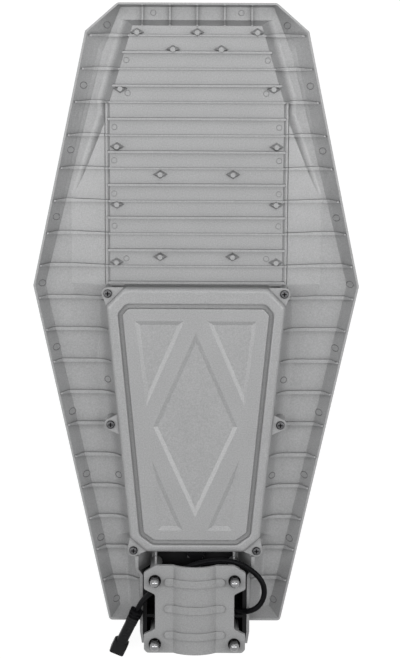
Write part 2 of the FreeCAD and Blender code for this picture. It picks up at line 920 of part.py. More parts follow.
def driver_cover():
    outline = cover_outline()
    panel = mirrored(cover_panel_corners)
    groove = grown(panel, cover_groove_width)
    groove_z = cover_top_z - cover_groove_depth
    everything = grown(outline, cover_clearance)
    band = rounded_plate(outline, cover_corner_radius, ear_z, cover_top_z)
    band = band.makeFillet(cover_band_round, edges_at(band, cover_top_z, everything))
    band = band.cut(rounded_plate(groove, cover_groove_corner_radius, groove_z, cover_top_z))
    band = band.makeFillet(cover_groove_round, edges_at(band, cover_top_z, grown(groove, cover_clearance)))
    rise = rounded_plate(panel, cover_panel_corner_radius, groove_z, cover_panel_z)
    rise = rise.makeFillet(cover_panel_round, edges_at(rise, cover_panel_z, everything))
    body = fused([band, rise] + cover_ears(ear_z, ear_z + ear_thickness))
    body = cut_away(body, cover_pockets())
    under = grown(outline, -box_inset - box_wall)
    tray_z = cover_panel_z - cover_pocket_depth - cover_skin
    places = both_sides(cover_screw_places)
    keep = [post(x, y, ear_post_radius, ear_z, tray_z) for x, y in places]
    hollow = [cut_away(plate(under, ear_z, tray_z), keep)]
    channel = plate(under, tray_z, cover_top_z - cover_skin)
    hollow.append(channel.cut(plate(grown(groove, cover_skin), tray_z, cover_top_z)))
    hollow += [post(x, y, ear_hole_radius, ear_z, ear_z + ear_thickness) for x, y in places]
    return cut_away(body, hollow).removeSplitter()


def cover_gasket():
    outer = plate(box_outline(), box_top_z, ear_z)
    inner = plate(grown(box_outline(), -box_wall), box_top_z, ear_z)
    posts = [post(x, y, ear_post_radius, box_top_z, ear_z) for x, y in both_sides(cover_screw_places)]
    return cut_away(outer.cut(inner), posts)


def cover_screw(x, y):
    top_z = ear_z + ear_thickness
    shank = post(x, y, cover_screw_radius, top_z - cover_screw_length, top_z)
    head = post(x, y, cover_screw_head_radius, top_z, top_z + cover_screw_head_height)
    crown = head.makeFillet(cover_screw_head_height * cover_screw_crown_share, [head.Edges[0]])
    screw = shank.fuse(crown)
    half_long = cross_slot_length / 2
    half_wide = cross_slot_width / 2
    low_z = top_z + cover_screw_head_height - cross_slot_depth
    high_z = top_z + cover_screw_head_height
    slots = [
        slab(x - half_long, x + half_long, y - half_wide, y + half_wide, low_z, high_z),
        slab(x - half_wide, x + half_wide, y - half_long, y + half_long, low_z, high_z),
    ]
    return cut_away(screw, slots).removeSplitter()


def cap_outline():
    lobe = bolt_x + lobe_reach
    waist = bolt_x - waist_inset
    return mirrored((
        (bolt_x - cap_tip_inset, cap_tip_y),
        (lobe, bolt_y + lobe_tip_far),
        (lobe, bolt_y - lobe_tip_near),
        (waist, bolt_y - lobe_tip_near - waist_slope),
        (waist, -bolt_y + lobe_tail_near + waist_slope),
        (lobe, -bolt_y + lobe_tail_near),
        (lobe, -bolt_y - lobe_tail_far),
        (lobe - lobe_tail_chamfer, cap_tail_y),
    ))


def clamp_cap():
    shadow = rounded_plate(cap_outline(), cap_corner_radius, 0, 2 * pole_radius)
    reach = bolt_x + 2 * lobe_reach
    y_low = cap_tail_y
    y_high = cap_tip_y
    flange = slab(-reach, reach, y_low, y_high, flange_under_z, flange_top_z)
    above = slab(-reach, reach, y_low, y_high, flange_under_z, 2 * pole_radius)
    arch = rod_along_y(pole_radius + cap_wall, y_low, y_high).common(above)
    body = flange.fuse(arch)
    band_top = flange_top_z + cap_band_rise
    band_stock = slab(-reach, reach, y_low, y_high, flange_under_z, band_top)
    band_arch = rod_along_y(pole_radius + cap_wall + cap_band_rise, y_low, y_high).common(above)
    band_stock = band_stock.fuse(band_arch)
    bands = []
    half = cap_band_width / 2
    straight = cap_band_half_length - half
    for index in (-1, 0, 1):
        y = cap_band_middle_y + index * cap_band_pitch
        slot = [slab(-straight, straight, y - half, y + half, 0, 2 * pole_radius)]
        slot += [post(x, y, half, 0, 2 * pole_radius) for x in (-straight, straight)]
        bands.append(band_stock.common(fused(slot)))
    body = fused([body.common(shadow)] + bands)
    bore = rod_along_y(pole_radius, y_low, y_high)
    relief = rod_along_y(pole_radius + cap_relief, pole_stop_y, y_high)
    holes = [post(x, y, bolt_radius + bolt_hole_clearance, 0, 2 * pole_radius) for x, y in bolt_places()]
    return cut_away(body, [bore, relief] + holes).removeSplitter()


def saddle_apron(tip_end):
    """Floor of the saddle that runs on to the box, past the grommet."""
    half = bolt_x - neck_rib / 2 - saddle_apron_gap
    high_y = box_tail_y - saddle_apron_gap
    apron = slab(-half, half, tip_end - saddle_rib, high_y, floor_z, floor_z + saddle_floor)
    notch_half = grommet_width / 2 + saddle_apron_gap
    notch_y = box_tail_y - grommet_length - saddle_apron_gap
    return apron.cut(slab(
        cable_exit_x - notch_half, cable_exit_x + notch_half,
        notch_y, high_y, floor_z, floor_z + saddle_floor,
    ))


def pole_saddle():
    top_z = neck_top_z
    outer_half = neck_half - neck_wall - saddle_side_clearance
    tail_half_width = outer_half - neck_tail_taper
    tip_end = pole_stop_y + saddle_rib
    shadow = mirrored((
        (outer_half, tip_end),
        (outer_half, -bolt_y),
        (tail_half_width, saddle_tail_y),
    ))
    block = plate(shadow, floor_z, top_z)
    inner_rim = outer_half - saddle_side_wall - neck_tail_taper
    tool_low_y = saddle_tail_y - overlap
    tool_high_y = tip_end + overlap
    cradle_outer = rod_along_y(pole_radius + saddle_wall, tool_low_y, tool_high_y)
    bay_tool = []
    edges = list(saddle_rib_places)
    for low, high in zip(edges[:-1], edges[1:]):
        bay_tool.append(slab(-inner_rim, inner_rim, low + saddle_rib, high, floor_z + saddle_floor, top_z))
    bays = Part.makeCompound(bay_tool).cut(cradle_outer)
    block = block.cut(bays).fuse(saddle_apron(tip_end))
    groove = rod_along_y(pole_radius, tool_low_y, pole_stop_y)
    past_stop = rod_along_y(pole_radius - pole_stop_height, pole_stop_y, tool_high_y)
    notch = slab(
        cable_exit_x - cable_notch_half_width, cable_exit_x + cable_notch_half_width,
        saddle_rib_places[2] - saddle_rib, tool_high_y, floor_z, -pole_radius - saddle_wall,
    )
    tools = [groove, past_stop, notch]
    tools += [post(x, y, neck_boss_radius + boss_clearance, floor_z, top_z) for x, y in bolt_places()]
    return cut_away(block, tools).removeSplitter()


def clamp_bolt(x, y):
    head_low = front_z + bolt_head_pocket_clearance
    head_high = head_low + bolt_head_height
    end_z = flange_top_z + washer_thickness + bolt_end_in_nut
    head = hexagon(x, y, bolt_head_width, head_low, head_high)
    return head.fuse(post(x, y, bolt_radius, head_high, end_z)).removeSplitter()


def clamp_washer(x, y):
    low = flange_top_z
    high = low + washer_thickness
    outer = post(x, y, washer_radius, low, high)
    return outer.cut(post(x, y, bolt_radius + bolt_hole_clearance, low, high))


def clamp_nut(x, y):
    low = flange_top_z + washer_thickness
    high = low + nut_hex_height
    inner = bolt_head_width / 2
    outer = inner + nut_chamfer_reach
    flat = inner + nut_chamfer_flat
    flared = Part.makeCone(inner, outer, nut_hex_height, vector(x, y, low))
    tapered = Part.makeCone(outer, inner, nut_hex_height, vector(x, y, low))
    hexed = hexagon(x, y, bolt_head_width, low, high)
    hexed = hexed.common(flared.fuse(post(x, y, flat, low, high)))
    hexed = hexed.common(tapered.fuse(post(x, y, flat, low, high - nut_top_edge)))
    straight = nut_dome_height - nut_dome_radius
    barrel = post(x, y, nut_dome_radius, high, high + straight)
    ball = Part.makeSphere(nut_dome_radius, vector(x, y, high + straight))
    dome = ball.common(post(x, y, nut_dome_radius, high + straight, high + nut_dome_height))
    bore = post(x, y, bolt_radius + thread_clearance, low, low + bolt_end_in_nut + screw_end_gap)
    return fused([hexed, barrel, dome]).cut(bore)


def cable_grommet():
    x = cable_exit_x
    outer_y = box_tail_y
    nose_y = outer_y - grommet_length
    half_width = grommet_width / 2
    half_height = grommet_height / 2
    block_y = nose_y + grommet_taper_length
    low_z = cable_z - half_height
    high_z = cable_z + half_height
    block = slab(x - half_width, x + half_width, block_y, outer_y, low_z, high_z)
    rings = []
    for y, width, height in (
        (block_y, grommet_width, grommet_height),
        (nose_y, grommet_nose_width, grommet_nose_height),
    ):
        corners = [
            vector(x + sx * width / 2, y, cable_z + sz * height / 2)
            for sx, sz in ((-1, -1), (1, -1), (1, 1), (-1, 1))
        ]
        rings.append(Part.makePolygon(corners + corners[:1]))
    nose = Part.makeLoft(rings, True, True)
    neck_half_width = grommet_neck_width / 2
    neck_half_height = grommet_neck_height / 2
    neck = slab(
        x - neck_half_width, x + neck_half_width, outer_y, outer_y + box_wall,
        cable_z - neck_half_height, cable_z + neck_half_height,
    )
    inner_y = outer_y + box_wall
    inner = slab(x - half_width, x + half_width, inner_y, inner_y + grommet_flange, low_z, high_z)
    return fused([block, nose, neck, inner])


def cable_path(points):
    """Straight runs joined by tangent arcs, and the arcs' radii."""
    corners = [vector(*point) for point in points]
    edges = []
    radii = []
    start = corners[0]
    for before, corner, after in zip(corners[:-2], corners[1:-1], corners[2:]):
        run_in = corner - before
        run_out = after - corner
        half_turn = run_in.getAngle(run_out) / 2
        trim = cable_bend_share * min(run_in.Length, run_out.Length)
        radius = trim / math.tan(half_turn)
        first = corner - vector(*run_in).normalize() * trim
        last = corner + vector(*run_out).normalize() * trim
        bisector = (first + last) * 0.5 - corner
        middle = corner + bisector.normalize() * (radius / math.cos(half_turn) - radius)
        edges.append(Part.LineSegment(start, first).toShape())
        edges.append(Part.Arc(first, middle, last).toShape())
        radii.append(radius)
        start = last
    edges.append(Part.LineSegment(start, corners[-1]).toShape())
    return Part.Wire(edges), radii


def solar_cable():
    path, radii = cable_path(cable_points)
    start = vector(*cable_points[0])
    direction = vector(*cable_points[1]) - start
    section = Part.Face(Part.Wire(Part.makeCircle(cable_radius, start, direction)))
    tube = path.makePipe(section)
    expected = math.pi * cable_radius ** 2 * path.Length
    print("cable length", round(path.Length, 1), "smallest radius", round(min(radii), 1))
    print("cable radii", [round(radius, 1) for radius in radii])
    print("cable volume over section times length", round(tube.Volume / expected, 4))
    return tube


def along_plug(shape):
    """Place a shape, made along +Z from the origin, on the connector's axis; +Y turns upwards."""
    start = vector(*cable_points[-1])
    axis = (start - vector(*cable_points[-2])).normalize()
    side = vector(0, 0, 1).cross(axis).normalize()
    placed = shape.copy()
    placed.Placement = FreeCAD.Placement(start, FreeCAD.Rotation(side, axis.cross(side), axis, "ZYX"))
    return placed


def squared(width, depth, corner):
    """Rectangle round the origin with its corners cut off."""
    x = width / 2
    y = depth / 2
    return [
        (x - corner, y), (x, y - corner), (x, corner - y), (x - corner, -y),
        (corner - x, -y), (-x, corner - y), (-x, y - corner), (corner - x, y),
    ]


def squared_bar(width, depth, corner, z_low, z_high):
    half_width = width / 2
    half_depth = depth / 2
    corners = [
        (half_width, half_depth), (half_width, -half_depth),
        (-half_width, -half_depth), (-half_width, half_depth),
    ]
    return rounded_plate(corners, corner, z_low, z_high)


def plug_relief():
    """Sleeve over the cable's end with fins across it."""
    low = -plug_relief_overlap
    pieces = [post(0, 0, plug_relief_core_radius, low, plug_relief_length)]
    for index in range(plug_fin_count):
        z = low + index * plug_fin_pitch
        pieces.append(squared_bar(
            plug_fin_width, plug_fin_depth, plug_corner_radius, z, z + plug_fin_thickness,
        ))
    bore = post(0, 0, cable_radius + thread_clearance, low, 0)
    return along_plug(fused(pieces).cut(bore))


def plug_body():
    low = plug_relief_length
    body = [squared_bar(plug_body_width, plug_body_depth, plug_corner_radius, low, low + plug_body_length)]
    for index in range(plug_head_rib_count):
        z = low + index * plug_head_pitch
        body.append(squared_bar(
            plug_head_width, plug_head_depth, plug_corner_radius, z, z + plug_head_rib,
        ))
    ball_y = plug_body_depth / 2 + plug_dimple_radius - plug_dimple_depth
    dimples = []
    for z in plug_dimple_places:
        dimples += [Part.makeSphere(plug_dimple_radius, vector(0, side * ball_y, z)) for side in (-1, 1)]
    return along_plug(cut_away(fused(body), dimples))


def plug_collar():
    """Squared collar whose broad faces slope up from the body."""
    low = plug_relief_length + plug_body_length
    middle = low + plug_collar_slope
    high = low + plug_collar_length
    near = squared(plug_collar_width, plug_body_depth, plug_collar_corner)
    far = squared(plug_collar_width, plug_collar_depth, plug_collar_corner)
    straight = squared_bar(plug_collar_width, plug_collar_depth, plug_collar_corner, middle, high)
    straight = straight.makeFillet(plug_collar_round, edges_at(straight, high, grown(far, overlap)))
    collar = fused([frustum(near, low, far, middle), straight])
    return along_plug(collar.cut(post(0, 0, plug_socket_radius, high - plug_socket_depth, high)))


def plug_contacts():
    high = plug_relief_length + plug_body_length + plug_collar_length
    low = high - plug_socket_depth
    pins = [
        post(x, 0, contact_radius, low, low + contact_length)
        for x in (-contact_half_pitch, contact_half_pitch)
    ]
    return along_plug(Part.makeCompound(pins))


def light_board():
    outline = grown(recess_outline(), -board_margin)
    board = plate(outline, panel_under_z - board_thickness, panel_under_z)
    hole = small_screw_radius + bolt_hole_clearance
    low = panel_under_z - board_thickness
    places = both_sides(board_screw_places)
    return cut_away(board, [post(x, y, hole, low, panel_under_z) for x, y in places])


def inside_outline(x, y, points):
    """Whether a point is inside a convex outline that runs clockwise."""
    for index in range(len(points)):
        x0, y0 = points[index]
        x1, y1 = points[(index + 1) % len(points)]
        if (x1 - x0) * (y - y0) - (y1 - y0) * (x - x0) > 0:
            return False
    return True


def chip_places():
    allowed = grown(recess_outline(), -board_margin - chip_edge_margin)
    places = []
    for row in range(chip_rows):
        y = chip_first_y + row * chip_row_pitch
        for column in range(chip_columns):
            x = (column - (chip_columns - 1) / 2) * chip_column_pitch
            if inside_outline(x, y, allowed):
                places.append((x, y))
    return places


def light_chips():
    half = chip_size / 2
    high = panel_under_z - board_thickness
    low = high - chip_thickness
    chips = [slab(x - half, x + half, y - half, y + half, low, high) for x, y in chip_places()]
    return Part.makeCompound(chips)


def lens_seal():
    outline = grown(recess_outline(), -lens_gap)
    low = panel_under_z - lens_seal_thickness
    middle = plate(grown(outline, -lens_seal_width), low, panel_under_z)
    seal = plate(outline, low, panel_under_z).cut(middle)
    hole = panel_screw_radius + bolt_hole_clearance
    return cut_away(seal, [post(x, y, hole, low, panel_under_z) for x, y in lens_screw_places()])


def lens_plate():
    outline = grown(recess_outline(), -lens_gap)
    high = panel_under_z - lens_seal_thickness
    low = high - lens_flange_thickness
    body = plate(outline, low, high)
    pocket = plate(grown(outline, -lens_pocket_margin), low + lens_plate_thickness, high)
    ball_radius = (lens_dome_radius ** 2 + lens_dome_height ** 2) / (2 * lens_dome_height)
    domes = []
    for x, y in chip_places():
        ball = Part.makeSphere(ball_radius, vector(x, y, low - lens_dome_height + ball_radius))
        domes.append(ball.common(post(x, y, ball_radius, low - lens_dome_height, low)))
    hole = panel_screw_radius + bolt_hole_clearance
    tools = [pocket] + [post(x, y, hole, low, high) for x, y in lens_screw_places()]
    return fused([body.cut(Part.makeCompound(tools))] + domes)


def screw_from_below(x, y, seat_z, end_z, shank_radius, head_radius, head_height):
    shank = post(x, y, shank_radius, seat_z, end_z)
    return shank.fuse(post(x, y, head_radius, seat_z - head_height, seat_z)).removeSplitter()


def screw_from_above(x, y, seat_z, length):
    shank = post(x, y, small_screw_radius, seat_z - length, seat_z)
    head = post(x, y, small_screw_head_radius, seat_z, seat_z + small_screw_head_height)
    return shank.fuse(head).removeSplitter()


def panel_screw_end_z():
    return panel_z + panel_boss_rise - panel_screw_end_gap


def lens_screws():
    seat = panel_under_z - lens_seal_thickness - lens_flange_thickness
    return Part.makeCompound([
        screw_from_below(
            x, y, seat, panel_screw_end_z(),
            panel_screw_radius, lens_screw_head_radius, lens_screw_head_height,
        )
        for x, y in lens_screw_places()
    ])


def board_screws():
    seat = panel_under_z - board_thickness
    return Part.makeCompound([
        screw_from_below(
            x, y, seat, panel_screw_end_z(),
            panel_screw_radius, board_screw_head_radius, board_screw_head_height,
        )
        for x, y in both_sides(board_screw_places)
    ])


def battery_pack():
    reach = (cell_count - 1) * cell_radius
    middle_z = floor_z + cell_radius
    core = slab(-reach, reach, pack_tail_y, pack_tail_y + pack_length, floor_z, floor_z + 2 * cell_radius)
    ends = []
    for x in (-reach, reach):
        start = vector(x, pack_tail_y, middle_z)
        ends.append(Part.makeCylinder(cell_radius, pack_length, start, vector(0, 1, 0)))
    return fused([core] + ends)


def battery_strap():
    inner = strap_half()
    outer = inner + strap_thickness
    toe = outer + strap_foot_length
    foot_z = floor_z + strap_boss_height
    foot_top_z = foot_z + strap_thickness
    under_z = floor_z + 2 * cell_radius + strap_clearance
    top_z = under_z + strap_thickness
    right = (
        (inner, under_z), (inner, foot_z), (toe, foot_z), (toe, foot_top_z),
        (outer, foot_top_z), (outer, top_z),
    )
    profile = list(right) + [(-x, z) for x, z in reversed(right)]
    middle_y = pack_tail_y + pack_length / 2
    strap = across(profile, middle_y - strap_width / 2, middle_y + strap_width / 2)
    hole = small_screw_radius + bolt_hole_clearance
    return cut_away(strap, [post(x, y, hole, foot_z, foot_top_z) for x, y in strap_screw_places()])


def strap_screws():
    seat = floor_z + strap_boss_height + strap_thickness
    places = strap_screw_places()
    return Part.makeCompound([screw_from_above(x, y, seat, small_screw_length) for x, y in places])


def controller_top_z():
    return floor_z + controller_post_height + controller_thickness


def controller_board():
    half = controller_width / 2
    low = floor_z + controller_post_height
    high_y = controller_tail_y + controller_length
    board = slab(-half, half, controller_tail_y, high_y, low, controller_top_z())
    hole = small_screw_radius + bolt_hole_clearance
    tools = [post(x, y, hole, low, controller_top_z()) for x, y in controller_post_places()]
    return cut_away(board, tools)


def controller_parts():
    """Terminal block, chip, two capacitors and a coil on the board."""
    z = controller_top_z()
    parts = []
    for x, y, width, length, height in block_components:
        low_y = controller_tail_y + y
        parts.append(slab(x, x + width, low_y, low_y + length, z, z + height))
    for x, y, radius, height in can_components:
        parts.append(post(x, controller_tail_y + y, radius, z, z + height))
    return Part.makeCompound(parts)


def controller_screws():
    seat = controller_top_z()
    places = controller_post_places()
    return Part.makeCompound([screw_from_above(x, y, seat, small_screw_length) for x, y in places])


def sensor_roof_z():
    return front_z + sensor_well_depth + skin


def sensor_dome():
    z = sensor_roof_z()
    centre = vector(0, sensor_y, z)
    ball = Part.makeSphere(sensor_dome_radius, centre)
    bowl = ball.common(post(0, sensor_y, sensor_dome_radius, z - sensor_dome_radius, z))
    lip = post(0, sensor_y, sensor_dome_radius + sensor_dome_lip, z, z + sensor_dome_lip_thickness)
    inner_radius = sensor_dome_radius - sensor_dome_wall
    inner = Part.makeSphere(inner_radius, centre)
    mouth = post(0, sensor_y, inner_radius, z, z + sensor_dome_lip_thickness)
    return cut_away(bowl.fuse(lip), [inner, mouth]).removeSplitter()


def sensor_board():
    low = sensor_roof_z() + sensor_dome_lip_thickness
    return post(0, sensor_y, sensor_dome_radius + sensor_dome_lip, low, low + sensor_board_thickness)


def sensor_can():
    high = sensor_roof_z() + sensor_dome_lip_thickness
    return post(0, sensor_y, sensor_can_radius, high - sensor_can_height, high)


def main():
    os.makedirs("parts", exist_ok=True)
    nodes = {
        "housing": housing(),
        "driver_cover": driver_cover(),
        "cover_gasket": cover_gasket(),
        "cover_screws": Part.makeCompound([cover_screw(x, y) for x, y in both_sides(cover_screw_places)]),
        "clamp_cap": clamp_cap(),
        "pole_saddle": pole_saddle(),
        "clamp_bolts": Part.makeCompound([clamp_bolt(x, y) for x, y in bolt_places()]),
        "clamp_washers": Part.makeCompound([clamp_washer(x, y) for x, y in bolt_places()]),
        "clamp_nuts": Part.makeCompound([clamp_nut(x, y) for x, y in bolt_places()]),
        "cable_grommet": cable_grommet(),
        "solar_cable": solar_cable(),
        "plug_relief": plug_relief(),
        "plug_body": plug_body(),
        "plug_collar": plug_collar(),
        "plug_contacts": plug_contacts(),
        "light_board": light_board(),
        "light_chips": light_chips(),
        "lens_seal": lens_seal(),
        "lens_plate": lens_plate(),
        "lens_screws": lens_screws(),
        "board_screws": board_screws(),
        "battery_pack": battery_pack(),
        "battery_strap": battery_strap(),
        "strap_screws": strap_screws(),
        "controller_board": controller_board(),
        "controller_parts": controller_parts(),
        "controller_screws": controller_screws(),
        "sensor_dome": sensor_dome(),
        "sensor_board": sensor_board(),
        "sensor_can": sensor_can(),
    }
    for name, shape in nodes.items():
        shape.exportStep("parts/" + name + ".step")
        print(name, shape.isValid(), len(shape.Solids), round(shape.Volume / 1000, 2), "cm3")


main()
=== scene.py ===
import json
import math

import bmesh
import bpy
from mathutils import Matrix, Vector
from mathutils.bvhtree import BVHTree


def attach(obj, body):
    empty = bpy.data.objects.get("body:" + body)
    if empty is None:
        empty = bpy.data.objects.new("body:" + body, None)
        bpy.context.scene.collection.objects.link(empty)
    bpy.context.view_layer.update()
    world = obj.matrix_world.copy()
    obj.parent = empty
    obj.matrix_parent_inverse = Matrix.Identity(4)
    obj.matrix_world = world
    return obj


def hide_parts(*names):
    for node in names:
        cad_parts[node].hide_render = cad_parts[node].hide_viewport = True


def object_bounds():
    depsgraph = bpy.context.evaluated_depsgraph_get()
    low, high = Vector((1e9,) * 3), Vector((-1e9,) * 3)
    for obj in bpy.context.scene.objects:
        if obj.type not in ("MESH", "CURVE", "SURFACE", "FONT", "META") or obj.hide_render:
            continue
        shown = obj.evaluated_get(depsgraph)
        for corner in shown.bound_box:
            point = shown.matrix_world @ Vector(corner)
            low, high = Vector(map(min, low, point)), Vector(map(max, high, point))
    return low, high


# A solar street light head lies on its light panel, with the ribbed back up.
# Lengths are in metres. +Y runs from the pole to the tip and +Z is up.
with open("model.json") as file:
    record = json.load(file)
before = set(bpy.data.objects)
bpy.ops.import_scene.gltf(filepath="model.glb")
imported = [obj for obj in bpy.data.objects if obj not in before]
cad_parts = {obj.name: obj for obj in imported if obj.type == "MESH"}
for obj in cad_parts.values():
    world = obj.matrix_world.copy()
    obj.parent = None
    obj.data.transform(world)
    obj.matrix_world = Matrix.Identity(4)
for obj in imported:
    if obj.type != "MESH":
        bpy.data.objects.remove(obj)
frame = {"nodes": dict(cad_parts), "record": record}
nodes = frame["nodes"]
cad_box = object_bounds()

mm = 0.001

# Camera, found from the photograph's perspective. Its lens and sensor are in millimetres.
camera_place = (0.00417, 0.59346, 1.786)
camera_pitch = math.radians(9.7)
camera_roll = math.radians(0.27)
lens_length = 98.33
sensor_size = 36.0
clip_near = 0.05
clip_far = 50.0

# The cable's route from its grommet to the connector, as in the solid model, in millimetres
cable_points = (
    (1.0, 37.4, -36.5), (1.0, 26.0, -36.5), (4.0, 15.0, -36.6), (11.2, 5.6, -36.6),
    (21.0, -1.8, -34.8), (30.8, -6.6, -29.0), (38.2, -9.3, -20.4), (44.8, -10.4, -11.6),
    (53.2, -9.9, -5.6), (62.6, -6.3, -3.3), (69.6, 1.2, -3.0), (72.6, 11.4, -3.6),
    (70.6, 21.7, -4.2), (64.2, 30.7, -4.6), (54.6, 38.2, -4.4), (43.0, 44.0, -3.2),
    (30.8, 47.0, -0.6), (18.2, 47.8, 3.8), (5.6, 47.2, 9.0), (-6.6, 44.4, 13.8),
    (-17.8, 38.8, 16.6), (-28.4, 31.2, 17.2), (-38.0, 23.0, 15.0), (-45.8, 14.8, 9.8),
    (-51.7, 7.2, 3.6), (-56.6, -0.8, -1.6), (-60.92, -11.0, -6.0),
)
cable_diameter = 5.7 * mm
cable_steps = 12
cable_roundness = 8

# Ejector marks on the tray and on the panel, right-hand side, (x, y) in millimetres
ejector_places = (
    (90.0, 590.0), (44.1, 602.2), (70.7, 555.6), (113.7, 530.3), (69.4, 522.8), (82.8, 488.9),
    (127.2, 465.5), (83.1, 455.5), (83.1, 422.0), (142.2, 397.6), (83.0, 389.3), (71.0, 356.0),
    (157.3, 329.4), (143.3, 263.0), (90.8, 229.2), (127.6, 195.1), (113.4, 128.6), (79.8, 128.1),
    (98.7, 60.2), (82.7, -7.0),
)

# Outer radii of the rings on level faces and on slopes, their width, and how far they
# rise over the surface and reach into it
level_mark_radius = 3.3 * mm
slope_mark_radius = 3.8 * mm
mark_width = 1.2 * mm
mark_rise = 0.45 * mm
mark_sink = 0.3 * mm
mark_segments = 28

# A face is level where its normal points up by more than this share
level_enough = 0.95

# Height over the part from which plumb lines are dropped
plumb_height = 0.1

# Paper that the part lies on: the glow that is seen, half its side, and its gap under the part
paper_colour = (0.15, 0.15, 0.15)
paper_roughness = 0.9
paper_glow = 0.93
paper_half = 6.0
paper_gap = 0.3 * mm

# World behind it: the glow that is seen, and the strength that lights the part
world_glow = 1.0
world_strength = 0.08

# Lamps: name, place, aim, width, height and power in watts
lamps = (
    ("overhead", (0.0, 1.2, 2.6), (0.0, 0.5, 0.0), 1.0, 1.2, 4.0),
    ("tip_box", (0.0, 2.3, 2.1), (0.0, 0.3, 0.0), 2.2, 1.4, 11.0),
    ("left_strip", (-1.0, 0.55, 2.2), (0.0, 0.6, 0.0), 0.4, 1.3, 13.5),
    ("right_strip", (1.0, 0.55, 2.2), (0.0, 0.6, 0.0), 0.4, 1.3, 13.5),
    ("left_box", (-1.9, 0.4, 1.5), (0.0, 0.4, 0.0), 0.5, 1.0, 9.0),
    ("right_box", (1.9, 0.4, 1.5), (0.0, 0.4, 0.0), 0.5, 1.0, 9.0),
    ("under_box", (0.0, 0.3, -2.2), (0.0, 0.3, 0.0), 1.6, 1.6, 55.0),
)

# Painted shade: colours are darkened in hollows narrower than the reach. The tone is how dark
# they get, where only the least open share of their surroundings is left open.
hollow_reach = 15.0 * mm
hollow_tone = 0.65
cap_hollow_tone = 0.7
metal_hollow_tone = 0.04
plastic_least_open = 0.3
metal_least_open = 0.75
hollow_samples = 8
edge_samples = 6

# Noise lies mostly between these values. Cells are counted to the metre, tones multiply a
# colour, and a polish is what the noise takes from a roughness and adds to it.
noise_low = 0.3
noise_high = 0.7

plain_gloss = 0.5
plain_speck = 0.05
grain_detail = 3.0
plastic_polish = (-0.06, 0.08)
patch_cells = 28.0
patch_detail = 4.0
patch_tones = (0.97, 1.03)

wear_cells = 900.0
wear_detail = 4.0
wear_tones = (0.92, 1.05)
metal_polish = (-0.05, 0.08)
least_roughness = 0.03

rubber_gloss = 0.06
rubber_polish = (-0.05, 0.1)
rubber_grain_cells = 2600.0
rubber_grain_detail = 2.0
rubber_grain_depth = 0.02 * mm
dust_cells = 90.0
dust_detail = 4.0
dust_tones = (0.85, 1.25)

lens_colour = (0.97, 0.98, 0.99)
lens_roughness = 0.06
lens_index = 1.49
lens_edge = 0.4 * mm
ripple_cells = 160.0
ripple_detail = 1.0
ripple_roughness = (0.04, 0.1)

board_roughness = 0.35
board_edge = 0.2 * mm
track_cells = 180.0
track_tones = (0.82, 1.08)
track_spread = (0.1, 0.6)
track_depth = 0.03 * mm

# Moulded plastics. Cells and depth are the grain's, edge is the radius of the softened
# edges, and speck is the grain's share in the colour.
plastics = {
    "housing_grey": dict(
        colour=(0.4, 0.402, 0.406), roughness=0.36, cells=800.0, depth=0.05 * mm, edge=0.35 * mm,
        speck=0.14, gloss=0.8,
    ),
    "cap_grey": dict(
        colour=(0.35, 0.352, 0.355), roughness=0.36, cells=800.0, depth=0.05 * mm, edge=0.8 * mm,
        speck=0.14, gloss=0.8, tone=cap_hollow_tone,
    ),
    # Darker grey of the rings on slopes: painted shade.
    "painted_shade_grey": dict(
        colour=(0.2, 0.201, 0.203), roughness=0.5, cells=800.0, depth=0.05 * mm, edge=0.2 * mm,
        speck=0.14,
    ),
    "black_plastic": dict(
        colour=(0.02, 0.02, 0.021), roughness=0.42, cells=1800.0, depth=0.03 * mm, edge=0.4 * mm,
        gloss=0.08,
    ),
    "chip_phosphor": dict(
        colour=(0.9, 0.72, 0.16), roughness=0.3, cells=4000.0, depth=0.02 * mm, edge=0.15 * mm,
    ),
    "pack_wrap": dict(
        colour=(0.05, 0.14, 0.42), roughness=0.28, cells=700.0, depth=0.06 * mm, edge=0.8 * mm,
    ),
    "components_black": dict(
        colour=(0.03, 0.03, 0.033), roughness=0.4, cells=2500.0, depth=0.02 * mm, edge=0.3 * mm,
    ),
    "dome_white": dict(
        colour=(0.8, 0.8, 0.78), roughness=0.35, cells=2600.0, depth=0.01 * mm, edge=0.3 * mm,
    ),
}

# Metals. The tone is painted shade in their hollows; one with a tone of one keeps its colour there.
metals = {
    "screw_steel": dict(
        colour=(0.1, 0.1, 0.103), roughness=0.36, edge=0.25 * mm, tone=metal_hollow_tone,
    ),
    "bright_chrome": dict(
        colour=(0.24, 0.24, 0.245), roughness=0.08, edge=0.4 * mm, tone=metal_hollow_tone,
    ),
    "strap_steel": dict(colour=(0.6, 0.6, 0.61), roughness=0.32, edge=0.3 * mm, tone=1.0),
    "contact_brass": dict(colour=(0.72, 0.5, 0.2), roughness=0.22, edge=0.15 * mm, tone=1.0),
}

rubbers = {
    "black_rubber": dict(colour=(0.008, 0.008, 0.009), roughness=0.6, edge=0.4 * mm),
    "cable_jacket": dict(colour=(0.005, 0.005, 0.006), roughness=0.3, edge=0.1 * mm),
}

boards = {"board_white": (0.84, 0.84, 0.83), "board_green": (0.02, 0.14, 0.06)}


def shader(name, colour, roughness, metallic=0.0, gloss=plain_gloss):
    """New node material, its tree and its main shader."""
    material = bpy.data.materials.new(name)
    material.use_nodes = True
    tree = material.node_tree
    main = tree.nodes["Principled BSDF"]
    main.inputs["Base Color"].default_value = (*colour, 1.0)
    main.inputs["Roughness"].default_value = roughness
    main.inputs["Metallic"].default_value = metallic
    main.inputs["Specular IOR Level"].default_value = gloss
    return material, tree, main


def object_coordinates(tree):
    """Place of a point on its own piece."""
    return tree.nodes.new("ShaderNodeTexCoord").outputs["Object"]


def noise(tree, coordinates, cells, detail):
    """Noise with so many cells to the metre."""
    node = tree.nodes.new("ShaderNodeTexNoise")
    node.inputs["Scale"].default_value = cells
    node.inputs["Detail"].default_value = detail
    tree.links.new(coordinates, node.inputs["Vector"])
    return node.outputs["Fac"]


